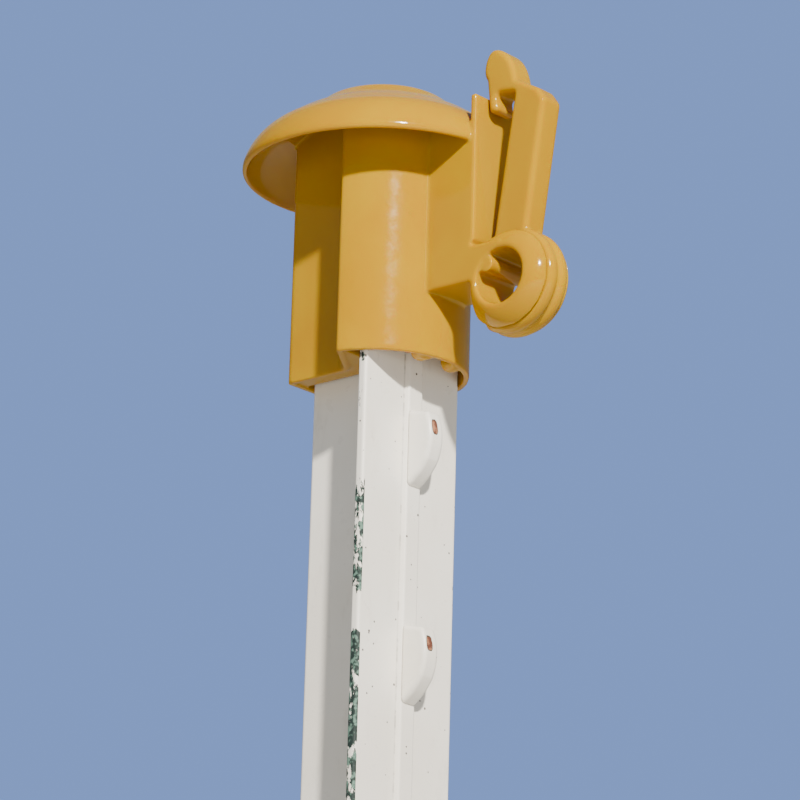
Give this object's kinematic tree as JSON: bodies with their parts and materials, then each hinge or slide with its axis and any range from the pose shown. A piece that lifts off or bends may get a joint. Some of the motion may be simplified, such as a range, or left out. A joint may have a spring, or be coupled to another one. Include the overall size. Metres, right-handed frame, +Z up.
{
  "type": "t-post safety cap",
  "caption": "Mushroom-domed plastic safety cap and fence-tape insulator with a swinging latch and a rope eye, pushed onto the top section of a studded T-post.",
  "frame": {"origin": "centre plane of the post's stem, at the cut foot of the post section", "axes": "+Z up the post, -Y towards the studs and the latch, X along the flange and the fence line"},
  "size_m": [0.071, 0.0927, 0.2189],
  "materials": {
    "post_paint": "semi-gloss paint with chips along the edges",
    "stud_paint": "semi-gloss paint, worn to rust on the tips",
    "cap_plastic": "glossy moulded polyethylene",
    "latch_plastic": "glossy moulded polyethylene"
  },
  "bodies": {
    "post": {"t_post": "post_paint", "post_studs": "stud_paint"},
    "cap": {"dome": "cap_plastic", "sleeve": "cap_plastic", "post_guides": "cap_plastic", "post_stop": "cap_plastic", "guide_fingers": "cap_plastic", "bracket_box": "cap_plastic", "tape_plate": "cap_plastic", "hinge_eyes": "cap_plastic", "hinge_barrel": "cap_plastic", "rope_bar": "cap_plastic"},
    "latch": {"latch_knuckle": "latch_plastic", "latch_arm": "latch_plastic", "latch_hook": "latch_plastic"}
  },
  "joints": [
    {"name": "cap_lift", "type": "slide", "parent": "post", "child": "cap", "axis": [0, 0, 1], "range_m": [0, 0.075]},
    {"name": "latch_swing", "type": "hinge", "parent": "cap", "child": "latch", "pos_m": [0, -0.044, 0.1576], "axis": [1, 0, 0], "range_deg": [0, 42]}
  ]
}
